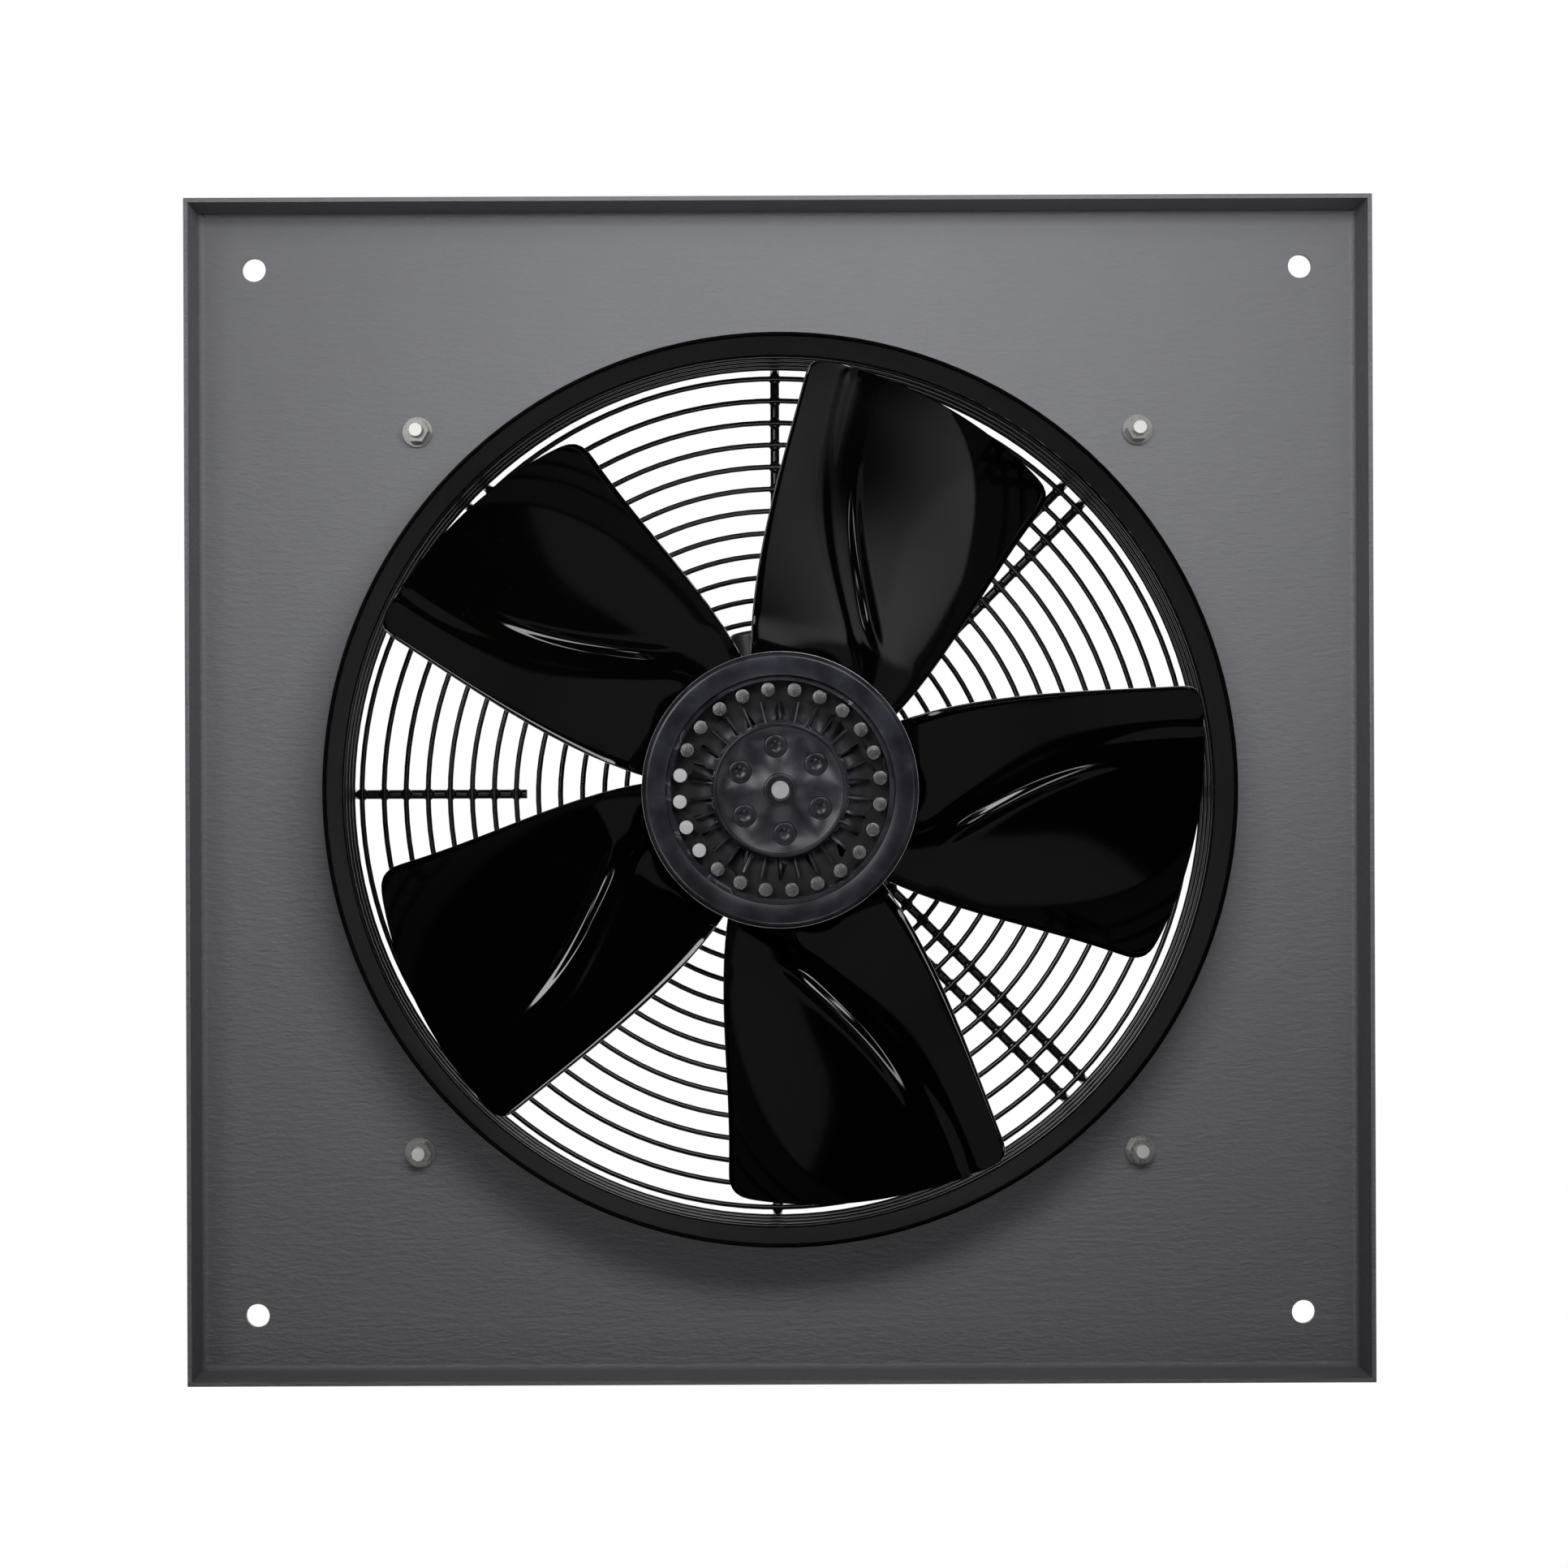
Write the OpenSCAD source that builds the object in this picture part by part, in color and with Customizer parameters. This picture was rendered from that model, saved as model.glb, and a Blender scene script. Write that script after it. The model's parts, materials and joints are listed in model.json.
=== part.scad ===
// Axial wall fan with a square plate, a wire basket and an external-rotor motor.
// X runs to the right and Z up as seen from the wall side. +Y runs from the wall into the room.
// The origin is on the fan axis, in the wall side of the plate's sheet.
// All lengths are in millimetres. An angle counts from +X towards +Z, seen from the wall.

/* [Wall plate] */
// Width and height of the plate over its folded edges
plate_size = 545; // [530:1:600]
// Thickness of the plate's sheet
plate_t = 2; // [1.5:0.1:3]
// Height of the folded edges from the wall side of the sheet
fold_h = 24; // [12:1:34]
// Inside radius of the folds
fold_r = 2.5; // [1:0.5:5]
// Spacing of the four wall bolts, across and up
wall_pitch = 490; // [480:1:500]
// Diameter of the wall bolt holes
wall_hole_d = 11; // [8:0.5:14]

/* [Nozzle] */
// Inside radius of the air nozzle
nozzle_r = 206; // [203:0.5:206.5]
// Wall thickness of the nozzle
nozzle_t = 2; // [1.5:0.1:3]
// Reach of the nozzle from the plate towards the wall
nozzle_depth = 35; // [32:1:60]
// Width of the collar that lies on the plate
collar_w = 5; // [3:0.5:8]
// Length of the nozzle's end on the room side of the plate
nozzle_end = 6; // [0.5:0.5:8]

/* [Basket] */
// Radius of the basket's side rings at the wire centre
basket_r = 207; // [206.5:0.5:212]
// Depth of the basket's face from the plate to the ring wires' centre
basket_depth = 66; // [64:1:90]
// Diameter of the ring wires
ring_wire_d = 2.6; // [2:0.1:3]
// Diameter of the arm and strut rods
rod_d = 4.5; // [4:0.1:5.5]
// Pitch of the rings on the face
face_pitch = 10.95; // [10.5:0.05:11.2]
// Number of rings on the face
face_rings = 13; // [10:1:13]
// Pitch of the rings on the side
side_pitch = 9; // [7:0.5:10]
// Depth of the side ring that is nearest to the face
side_top = 45; // [42:1:50]
// Spacing of the two rods of an arm
arm_gap = 13; // [12:0.5:15]
// Depth to which the rods are welded into the wires and the bracket
weld_sink = 0.4; // [0.2:0.1:0.6]
// Straight stretch of an arm's foot, from its bend to the bolt
foot_reach = 22.1; // [18:0.1:30]
// Radius at which the single struts begin
strut_start = 124; // [90:1:140]

/* [Impeller] */
// Radius of the blade tips
impeller_r = 199; // [180:0.5:200]
// Number of blades
blade_count = 5; // [3:1:6]
// Thickness of the blades' sheet
blade_t = 1.6; // [1:0.1:2.5]
// Outside radius of the impeller's hub ring
hub_r = 63; // [60:0.5:68]
// Thickness of the hub ring's sheet
hub_t = 2.5; // [1.5:0.1:3]
// Place of the hub ring's front face along the axis
hub_front = -36; // [-40:1:-34]
// Place of the hub ring's rear edge along the axis
hub_rear = 34; // [30:1:36]
// Height of the pressed bead on a blade
bead_h = 4.2; // [1:0.1:5]
// Half of the greatest width of the bead
bead_w = 6; // [4:0.5:8]
// Drop of the crease beside the bead
crease_drop = 4; // [2:0.5:6]
// Bow of a blade towards the wall
camber = 7; // [3:0.5:10]

/* [Motor] */
// Outside radius of the rotor can
can_r = 52; // [51:0.5:54]
// Wall thickness of the rotor can
can_t = 2.2; // [1.5:0.1:2.6]
// Radius of the hub disc on the rotor's front
disc_r = 30.5; // [29:0.5:32]
// Circle radius of the rotor's screws
screw_circle_r = 20; // [19:0.5:21]
// Number of the rotor's screws
screw_count = 6; // [3:1:8]
// Circle radius of the cage pins
pin_circle_r = 46; // [45:0.1:46.2]
// Radius of the cage pins
pin_r = 3.1; // [2.5:0.1:3.2]
// Number of the cage pins
pin_count = 24; // [12:1:26]
// Number of the cooling webs in the rotor's recess
web_count = 30; // [12:1:36]
// Radius of the shaft
shaft_r = 4; // [3.5:0.1:4.2]
// Outside radius of the two ball bearings
bearing_r = 11; // [10.5:0.5:11.5]
// Width of the two ball bearings
bearing_w = 7; // [6:0.5:8]
// Length of the iron stack
stack_l = 36; // [30:1:38]
// Air gap between rotor and stator
air_gap = 0.4; // [0.3:0.1:0.6]
// Outside radius of the stator flange
flange_r = 50; // [48:0.5:51]
// Direction of the cable gland
gland_angle = 100; // [80:1:110]

/* [Hidden] */

// Colours
grey_paint = [0.36, 0.36, 0.37];
black_gloss = [0.05, 0.05, 0.055];
hub_black = [0.13, 0.13, 0.17];
zinc = [0.72, 0.72, 0.70];
steel = [0.55, 0.56, 0.58];
iron = [0.32, 0.32, 0.34];
aluminium = [0.78, 0.79, 0.80];
copper = [0.72, 0.42, 0.22];
nylon = [0.85, 0.85, 0.80];

// Facets of the drawn circles
big_fn = 180;
mid_fn = 96;
wire_fn = 36;
overrun = 1;

// Clearances
slip = 0.05;
seat_gap = 0.1;
run_gap = 1.5;

// Wall plate
half_plate = plate_size / 2;
fold_centre = half_plate - fold_r - plate_t;
nozzle_end_t = 1.4;
plate_bore_r = nozzle_r + nozzle_end_t + seat_gap;

// Fasteners of the basket, M6
bolt_d = 6;
bolt_hole_d = 6.6;
bolt_head_af = 10;
bolt_head_h = 4;
bolt_nut_h = 5.2;
bolt_tail = 2.5;
washer_d = 14;
washer_t = 1.6;

// Basket
face_y = basket_depth;
rod_y = face_y + ring_wire_d / 2 + rod_d / 2 - weld_sink;
rod_side_r = basket_r + ring_wire_d / 2 + rod_d / 2 - weld_sink;
corner_bend = rod_d;
foot_bend = 6;
foot_y = plate_t + rod_d / 2;
foot_r = rod_side_r + foot_bend + foot_reach;
basket_pitch = foot_r * sqrt(2);
arm_angle = 45;
foot_top = plate_t + rod_d;
side_rings = 4;
side_low = side_top - (side_rings - 1) * side_pitch;
strut_tail = ring_wire_d;

// Motor bracket, a pressed ring with a rim. The arms reach in over it
bracket_t = 3;
bracket_r = 66;
bracket_bore_r = 24;
bracket_rim = 3;
bracket_far = rod_y - rod_d / 2 + weld_sink;
bracket_near = bracket_far - bracket_t;
arm_start = 34;
motor_screw_circle_r = 38;
motor_screw_d = 5;
motor_screw_head_r = 4.25;
motor_screw_head_h = 3.5;
motor_screw_af = 3.5;
motor_screw_grip = 5;
motor_boss_r = 5.5;

// Rotor along the axis
disc_setback = 1.5;
disc_front = hub_front + disc_setback;
floor_front = -24;
floor_t = 2.5;
floor_back = floor_front + floor_t;
can_front = -33.5;
can_rear = 39.5;
stack_front = -10;
stack_rear = stack_front + stack_l;
cage_end = 6.5;
shaft_proud = 0.5;
shaft_front = disc_front - shaft_proud;
shaft_tail = 3;
shaft_flange_r = 26;
shaft_flange_t = 4.5;
shaft_boss_r = 8;
shaft_boss_l = 3.5;
pin_front = -31;
bar_r = 1.8;
web_out_r = 41;
web_t = 1.2;
web_h = 5;
disc_boss_r = 7.4;
disc_boss_h = 0.5;
disc_lip_w = 1.6;
disc_lip_h = 0.6;
hub_screw_r = 3;
hub_screw_head_r = 5;
hub_screw_head_h = 6;
hub_screw_af = 5;
hub_screw_socket = 3;
hub_screw_angle = 35.7;
pin_angle = 6.6;
collar_l = 12;
hub_edge_r = 3;

// Stator and bearings
core_r = can_r - can_t - seat_gap;
rotor_iron_w = 8.1;
rotor_core_in = core_r - rotor_iron_w;
stator_r = rotor_core_in - air_gap;
tube_r = 15;
tube_front = -12;
tube_bore_r = 9.5;
flange_near = can_rear + run_gap;
flange_far = bracket_near;
flange_floor = 4.3;
flange_wall = 4;
slot_count = 12;
tooth_w = 8;
yoke_w = 6;
shoe_w = 5.2;
slot_in_r = tube_r + yoke_w;
slot_out_r = stator_r - shoe_w;
slot_mouth = 3;
head_inset = 1;
head_in_r = slot_in_r + head_inset;
head_out_r = slot_out_r + head_inset;
head_h = 4.5;
insulator_t = 1;
bearing_setback = 1.5;
front_bearing = tube_front + bearing_setback;
rear_bearing = 40;
race_circle_r = (bearing_r + shaft_r) / 2;
ball_share = 0.283;
race_share = 0.26;
ball_r = (bearing_r - shaft_r) * ball_share;
race_gap = 0.03;
race_wall = (bearing_r - shaft_r) * race_share;
ball_count = 7;
ball_cage_w = 1.2;
ball_cage_t = 0.4;
cap_depth = 5;
cap_t = 1;
shield_t = 0.4;
spring_t = 0.6;
clip_t = 1;
clip_depth = 0.5;
clip_r = 6;

// Cable gland, M16
gland_y = 51;
gland_thread_r = 8;
gland_af = 16;
gland_hex_h = 7;
gland_stem = 7;
gland_nut_l = 21;
gland_nut_r = 9.4;
gland_edge_r = 2.5;
gland_bore_r = 4;
gland_seal_r = 6.2;
gland_seal_l = 8;
gland_boss_r = 9.2;
gland_boss_h = 2;

// Blade outline. Angles of the wall-side edge and of the room-side edge along the span
near_root_angle = 102;
near_sweep_angle = 25.5;
near_curl_angle = 9.3;
far_root_angle = 32;
far_sweep_angle = 28.5;
far_curl_angle = 13.7;
near_root_y = -30;
near_tip_y = -25;
far_root_y = 25;
far_tip_y = 51;
near_corner_r = 7;
far_corner_r = 10;
blade_sink = 0.8;
blade_root_r = hub_r - blade_sink;
// Rows along the span, and lines across a blade on the near facet, the crease, the bead and beyond
row_shares = [0, 0.015, 0.035, 0.065, 0.1, 0.13, 0.155, 0.18, 0.22, 0.29, 0.38, 0.48, 0.6, 0.72, 0.83,
    0.915, 0.95, 0.975, 0.99, 1];
near_line_shares = [0, 0.36, 0.72];
crease_line_shares = [-0.3, 0, 0.5, 1];
bead_line_shares = [-1, -0.7, -0.35, 0, 0.35, 0.7, 1];
far_line_shares = [0.16, 0.33, 0.5, 0.67, 0.84, 1];
// The crease, as a share of the blade's width at the root and at the tip
crease_root_share = 0.62;
crease_tip_share = 0.13;
crease_curve_share = 2.8;
crease_level_share = 0.05;
crease_w = 6;
bead_offset = 15;
bead_start_r = 80;
bead_full_r = 88;
bead_end_r = 166;
// Line where the root fold begins, as shares of the blade's width and of the hub's radius
fold_line_shares = [[0, 1.24], [0.08, 1.17], [0.15, 1.04], [0.25, 1.08], [0.5, 1.24], [1, 1.4]];
fold_most = 10;
fold_full_share = 0.93;
fold_sharp_share = 0.35;

// Turns a profile of radius and depth about the fan axis
module turned(fn = big_fn) {
    rotate([-90, 0, 0]) rotate_extrude($fn = fn) children();
}

// Turns a piece about the fan axis to an angle
module at_angle(a) {
    rotate([0, -a, 0]) children();
}

// A profile with one corner at a radius and a depth, and the other corner further out
module band(r_in, r_out, y_front, y_rear) {
    translate([r_in, y_front]) square([r_out - r_in, y_rear - y_front]);
}

// A rod along +Y from one depth to another
module axial_rod(r, y_front, y_rear, fn = mid_fn) {
    translate([0, y_front, 0]) rotate([-90, 0, 0]) cylinder(r = r, h = y_rear - y_front, $fn = fn);
}

// A hexagon along +Y, measured across its flats
module axial_hex(af, y_front, y_rear) {
    axial_rod(af / sqrt(3), y_front, y_rear, 6);
}

// Puts a piece at the four corners of a square pattern
module four_corners(pitch) {
    for (sx = [-1, 1], sz = [-1, 1]) translate([sx * pitch / 2, 0, sz * pitch / 2]) children();
}

// Half section of one folded edge, across from the plate's middle and along the axis
module fold_section() {
    translate([fold_centre, -fold_r]) intersection() {
        difference() {
            circle(r = fold_r + plate_t, $fn = mid_fn);
            circle(r = fold_r, $fn = mid_fn);
        }
        square(fold_r + plate_t);
    }
}

module wall_plate() {
    color(grey_paint) difference() {
        union() {
            rotate([-90, 0, 0]) linear_extrude(plate_t) square(2 * fold_centre, center = true);
            for (a = [0:90:270]) at_angle(a) {
                bend_half = a % 180 == 0 ? half_plate : fold_centre;
                translate([0, 0, -bend_half]) linear_extrude(2 * bend_half) fold_section();
                translate([half_plate - plate_t, -fold_h, -half_plate])
                    cube([plate_t, fold_h - fold_r, 2 * half_plate]);
            }
        }
        axial_rod(plate_bore_r, -overrun, plate_t + overrun, big_fn);
        four_corners(wall_pitch) axial_rod(wall_hole_d / 2, -overrun, plate_t + overrun);
        four_corners(basket_pitch) axial_rod(bolt_hole_d / 2, -overrun, plate_t + overrun);
    }
}

// The nozzle is stepped thinner behind its collar, where it is set into the plate
module nozzle_ring() {
    end_y = plate_t + nozzle_end - nozzle_end_t / 2;
    color(black_gloss) turned() union() {
        band(nozzle_r, nozzle_r + nozzle_t, nozzle_t / 2 - nozzle_depth, 0);
        translate([nozzle_r + nozzle_t / 2, nozzle_t / 2 - nozzle_depth])
            circle(r = nozzle_t / 2, $fn = wire_fn);
        band(nozzle_r + nozzle_t / 2, nozzle_r + nozzle_t + collar_w, -nozzle_t, 0);
        band(nozzle_r, nozzle_r + nozzle_end_t, -nozzle_t, end_y);
        translate([nozzle_r + nozzle_end_t / 2, end_y]) circle(r = nozzle_end_t / 2, $fn = wire_fn);
    }
}

// A closed wire ring about the fan axis
module wire_ring(r, y) {
    turned() translate([r, y]) circle(r = ring_wire_d / 2, $fn = wire_fn);
}

module guard_face_rings() {
    color(black_gloss) for (k = [0:face_rings - 1])
        wire_ring(basket_r - ring_wire_d / 2 - k * face_pitch, face_y);
}

// A side ring, counted from the face of the basket
module guard_side_ring(k) {
    color(black_gloss) wire_ring(basket_r, side_top - (k - 1) * side_pitch);
}

// A quarter bend of a rod in the plane of radius and depth, about a centre, from an angle
module rod_bend(r_centre, y_centre, bend, from) {
    translate([r_centre, y_centre, 0]) rotate([0, 0, from])
        rotate_extrude(angle = 90, $fn = mid_fn)
            translate([bend, 0]) circle(r = rod_d / 2, $fn = wire_fn);
}

// A straight rod along the radius at a depth
module rod_out(r_start, r_end, y) {
    translate([r_start, y, 0]) rotate([0, 90, 0])
        cylinder(r = rod_d / 2, h = r_end - r_start, $fn = wire_fn);
}

// The face stretch, the corner bend and the side stretch of a rod, down to a depth
module basket_rod(r_start, y_end) {
    rod_out(r_start, rod_side_r - corner_bend, rod_y);
    rod_bend(rod_side_r - corner_bend, rod_y - corner_bend, corner_bend, 0);
    translate([rod_side_r, 0, 0]) axial_rod(rod_d / 2, y_end, rod_y - corner_bend, wire_fn);
}

// An arm is one rod, bent to a hairpin whose loop is the foot round the bolt
module guard_arm(a) {
    color(black_gloss) at_angle(a) union() {
        for (side = [-1, 1]) translate([0, 0, side * arm_gap / 2]) {
            basket_rod(arm_start, foot_y + foot_bend);
            rod_bend(rod_side_r + foot_bend, foot_y + foot_bend, foot_bend, 180);
            rod_out(rod_side_r + foot_bend, foot_r, foot_y);
        }
        translate([foot_r, foot_y, 0]) rotate([-90, 0, 0]) rotate([0, 0, -90])
            rotate_extrude(angle = 180, $fn = mid_fn)
                translate([arm_gap / 2, 0]) circle(r = rod_d / 2, $fn = wire_fn);
    }
}

module guard_strut(a) {
    color(black_gloss) at_angle(a) basket_rod(strut_start, side_low - strut_tail);
}

module guard_bolts() {
    color(zinc) four_corners(basket_pitch) union() {
        axial_hex(bolt_head_af, foot_top + washer_t, foot_top + washer_t + bolt_head_h);
        axial_rod(bolt_d / 2, -washer_t - bolt_nut_h - bolt_tail,
            foot_top + washer_t + bolt_head_h / 2);
    }
}

module guard_washers() {
    color(zinc) four_corners(basket_pitch) for (y = [-washer_t, foot_top])
        turned(mid_fn) band(bolt_d / 2 + seat_gap, washer_d / 2, y, y + washer_t);
}

module guard_nuts() {
    color(zinc) four_corners(basket_pitch) difference() {
        axial_hex(bolt_head_af, -washer_t - bolt_nut_h, -washer_t);
        axial_rod(bolt_d / 2 + slip, -washer_t - bolt_nut_h - overrun, overrun);
    }
}

module motor_bracket() {
    color(black_gloss) difference() {
        turned(mid_fn) union() {
            band(bracket_bore_r, bracket_r, bracket_near, bracket_far);
            band(bracket_r - bracket_t, bracket_r, bracket_near - bracket_rim, bracket_far);
        }
        for (a = [0:90:270]) at_angle(a) translate([motor_screw_circle_r, 0, 0])
            axial_rod(motor_screw_d / 2 + seat_gap, bracket_near - overrun, bracket_far + overrun);
    }
}

module motor_screws() {
    color(zinc) for (a = [0:90:270]) at_angle(a) translate([motor_screw_circle_r, 0, 0])
        difference() {
            union() {
                axial_rod(motor_screw_head_r, bracket_far, bracket_far + motor_screw_head_h);
                axial_rod(motor_screw_d / 2, bracket_near - motor_screw_grip,
                    bracket_far + motor_screw_head_h / 2);
            }
            axial_hex(motor_screw_af, bracket_far + motor_screw_head_h / 2,
                bracket_far + motor_screw_head_h + overrun);
        }
}

// Moves a piece that is drawn along +X from the flange's rim to the gland's place
module at_gland() {
    at_angle(gland_angle) translate([flange_r, gland_y, 0]) rotate([0, 90, 0]) children();
}

module stator_flange() {
    color(iron) difference() {
        union() {
            turned(mid_fn) union() {
                band(0, flange_r, flange_far - flange_floor, flange_far);
                band(flange_r - flange_wall, flange_r, flange_near, flange_far);
                band(0, tube_r, tube_front, flange_far);
            }
            intersection() {
                at_gland() translate([0, 0, -2 * flange_wall])
                    cylinder(r = gland_boss_r, h = 2 * flange_wall + gland_boss_h, $fn = mid_fn);
                turned(mid_fn)
                    band(flange_r - flange_wall, flange_r + gland_boss_h, flange_near, flange_far);
            }
            for (a = [0:90:270]) at_angle(a) translate([motor_screw_circle_r, 0, 0])
                axial_rod(motor_boss_r, flange_far - flange_floor - motor_screw_grip / 2, flange_far);
        }
        axial_rod(bearing_r + slip, tube_front - overrun, front_bearing + bearing_w + spring_t);
        axial_rod(tube_bore_r, tube_front - overrun, flange_far);
        axial_rod(bearing_r + slip, rear_bearing, flange_far + overrun);
        at_gland() translate([0, 0, -2 * flange_wall])
            cylinder(r = gland_thread_r + seat_gap, h = 2 * flange_wall + gland_boss_h + overrun,
                $fn = mid_fn);
        for (a = [0:90:270]) at_angle(a) translate([motor_screw_circle_r, 0, 0])
            axial_rod(motor_screw_d / 2 + slip, flange_far - motor_screw_grip - seat_gap,
                flange_far + overrun);
    }
}

module gland_body() {
    color(black_gloss) at_gland() difference() {
        union() {
            translate([0, 0, -flange_wall])
                cylinder(r = gland_thread_r, h = flange_wall + gland_boss_h, $fn = mid_fn);
            translate([0, 0, gland_boss_h]) cylinder(d = gland_af * 2 / sqrt(3), h = gland_hex_h, $fn = 6);
            translate([0, 0, gland_boss_h + gland_hex_h])
                cylinder(r = gland_thread_r - seat_gap, h = gland_stem, $fn = mid_fn);
        }
        translate([0, 0, -flange_wall - overrun])
            cylinder(r = gland_seal_r, h = 2 * (flange_wall + gland_hex_h + gland_stem), $fn = mid_fn);
    }
}

module gland_nut() {
    color(black_gloss) at_gland() translate([0, 0, gland_boss_h + gland_hex_h])
        rotate_extrude($fn = mid_fn) difference() {
            union() {
                square([gland_nut_r, gland_nut_l - gland_edge_r]);
                square([gland_nut_r - gland_edge_r, gland_nut_l]);
                translate([gland_nut_r - gland_edge_r, gland_nut_l - gland_edge_r])
                    circle(r = gland_edge_r, $fn = mid_fn);
            }
            translate([0, -overrun]) square([gland_thread_r, gland_nut_l - gland_edge_r + overrun]);
            translate([0, -overrun]) square([gland_seal_r, gland_nut_l + 2 * overrun]);
        }
}

module gland_seal() {
    color(iron) at_gland() translate([0, 0, gland_boss_h + gland_hex_h + seat_gap])
        rotate_extrude($fn = mid_fn) translate([gland_bore_r, 0])
            square([gland_seal_r - gland_bore_r - seat_gap, gland_seal_l]);
}

// Flat ring, before it is given a length
module flat_ring(r_in, r_out) {
    difference() {
        circle(r = r_out, $fn = big_fn);
        circle(r = r_in, $fn = mid_fn);
    }
}

// Stack of laminations: yoke, teeth and the shoes with a slot's mouth between them
module stator_core() {
    color(iron) translate([0, stack_front, 0]) rotate([-90, 0, 0]) linear_extrude(stack_l) union() {
        flat_ring(tube_r + slip, slot_in_r);
        for (k = [0:slot_count - 1]) rotate(k * 360 / slot_count)
            translate([slot_in_r - overrun, -tooth_w / 2])
                square([slot_out_r - slot_in_r + 2 * overrun, tooth_w]);
        difference() {
            flat_ring(slot_out_r, stator_r);
            for (k = [0:slot_count - 1]) rotate((k + 1 / 2) * 360 / slot_count)
                translate([slot_out_r - overrun, -slot_mouth / 2])
                    square([shoe_w + 2 * overrun, slot_mouth]);
        }
    }
}

module stator_windings() {
    color(copper) turned(mid_fn) for (y = [stack_front - insulator_t - head_h, stack_rear + insulator_t])
        union() {
            band(head_in_r + head_h / 2, head_out_r - head_h / 2, y, y + head_h);
            for (r = [head_in_r, head_out_r - head_h]) translate([r + head_h / 2, y + head_h / 2])
                circle(r = head_h / 2, $fn = wire_fn);
        }
}

module slot_insulators() {
    color(nylon) turned(mid_fn) for (y = [stack_front - insulator_t, stack_rear])
        band(tube_r + seat_gap, stator_r - air_gap, y, y + insulator_t);
}

// Profile of a bearing ring between two radii, with the balls' groove cut in it
module race_section(r_in, r_out, y) {
    difference() {
        band(r_in, r_out, y, y + bearing_w);
        translate([race_circle_r, y + bearing_w / 2]) circle(r = ball_r + race_gap, $fn = wire_fn);
    }
}

module bearing_outer_rings() {
    color(steel) turned(mid_fn) for (y = [front_bearing, rear_bearing])
        race_section(bearing_r - race_wall, bearing_r, y);
}

module bearing_inner_rings() {
    color(steel) turned(mid_fn) for (y = [front_bearing, rear_bearing])
        race_section(shaft_r + slip, shaft_r + race_wall, y);
}

module bearing_shields() {
    color(steel) turned(mid_fn) for (y = [front_bearing, rear_bearing], end = [0, bearing_w - shield_t])
        band(shaft_r + race_wall + 2 * seat_gap, bearing_r - race_wall - slip,
            y + end, y + end + shield_t);
}

// Balls of one bearing with the ring that spaces them
module ball_set(y) {
    color(steel) translate([0, y + bearing_w / 2, 0]) {
        for (k = [0:ball_count - 1]) at_angle(k * 360 / ball_count)
            translate([race_circle_r, 0, 0]) sphere(r = ball_r, $fn = mid_fn);
        difference() {
            turned(mid_fn) band(race_circle_r - ball_cage_w / 2, race_circle_r + ball_cage_w / 2,
                -ball_cage_w / 2, ball_r + ball_cage_t);
            for (k = [0:ball_count - 1]) at_angle(k * 360 / ball_count)
                translate([race_circle_r, 0, 0]) axial_rod(ball_r + slip, -ball_cage_w, ball_r + slip);
        }
    }
}

module front_ball_set() {
    ball_set(front_bearing);
}

module rear_ball_set() {
    ball_set(rear_bearing);
}

module preload_spring() {
    color(steel) turned(mid_fn)
        band(tube_bore_r, bearing_r - slip, front_bearing + bearing_w,
            front_bearing + bearing_w + spring_t);
}

// Pressed cup that closes the tube behind the rear bearing
module end_cap() {
    color(zinc) turned(mid_fn) union() {
        band(0, bearing_r, flange_far - cap_depth, flange_far - cap_depth + cap_t);
        band(bearing_r - cap_t, bearing_r, flange_far - cap_depth, flange_far);
    }
}

// Pressed ring that carries the blades: outer wall, front face and the collar on the rotor can
module hub_ring() {
    color(hub_black) turned() union() {
        band(hub_r - hub_t, hub_r, hub_front + hub_edge_r, hub_rear);
        band(can_r + slip, hub_r - hub_edge_r, hub_front, hub_front + hub_t);
        band(can_r + slip, can_r + hub_t, hub_front, hub_front + collar_l);
        intersection() {
            translate([hub_r - hub_edge_r, hub_front + hub_edge_r]) difference() {
                circle(r = hub_edge_r, $fn = mid_fn);
                circle(r = hub_edge_r - hub_t, $fn = mid_fn);
            }
            band(hub_r - hub_edge_r, hub_r, hub_front, hub_front + hub_edge_r);
        }
    }
}

// Straight blend from 0 to 1 between two values, and the same with soft ends
function ramp(v, low, high) = min(max((v - low) / (high - low), 0), 1);
function soft(q) = q * q * (3 - 2 * q);

// Edges of a blade at a span share u: angles, depths and the mean surface
function near_angle(u) = near_root_angle - near_sweep_angle * u + near_curl_angle * u * u;
function far_angle(u) = far_root_angle + far_sweep_angle * u - far_curl_angle * u * u;
function near_y(u) = near_root_y + (near_tip_y - near_root_y) * u;
function far_y(u) = far_root_y + (far_tip_y - far_root_y) * u;
function arc_w(u, r) = r * (near_angle(u) - far_angle(u)) * PI / 180;
function crease_share(u) = crease_tip_share
    + (crease_root_share - crease_tip_share) * pow(1 - max(u - crease_level_share, 0), crease_curve_share);

// Amount by which a rounded tip corner cuts into an edge
function corner_cut(r, corner) = r > impeller_r - corner
    ? corner - sqrt(max(corner * corner - pow(r - impeller_r + corner, 2), 0)) : 0;

// Height of the bead at a radius, and its half width
function bead_rise(r) = bead_h * soft(ramp(r, bead_start_r, bead_full_r))
    * (1 - ramp(r, bead_full_r, bead_end_r));
function bead_half(r) = bead_w * (1 - ramp(r, bead_full_r, bead_end_r) / 2);

// Rearward sink of the root fold
function fold_sink(s, r) = let (line = hub_r * lookup(s, fold_line_shares),
        q = fold_full_share * ramp(-r, -line, -blade_root_r),
        most = min(fold_most, line - blade_root_r))
    most * (fold_sharp_share * q + (1 - fold_sharp_share) * (1 - sqrt(1 - q * q)));

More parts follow.
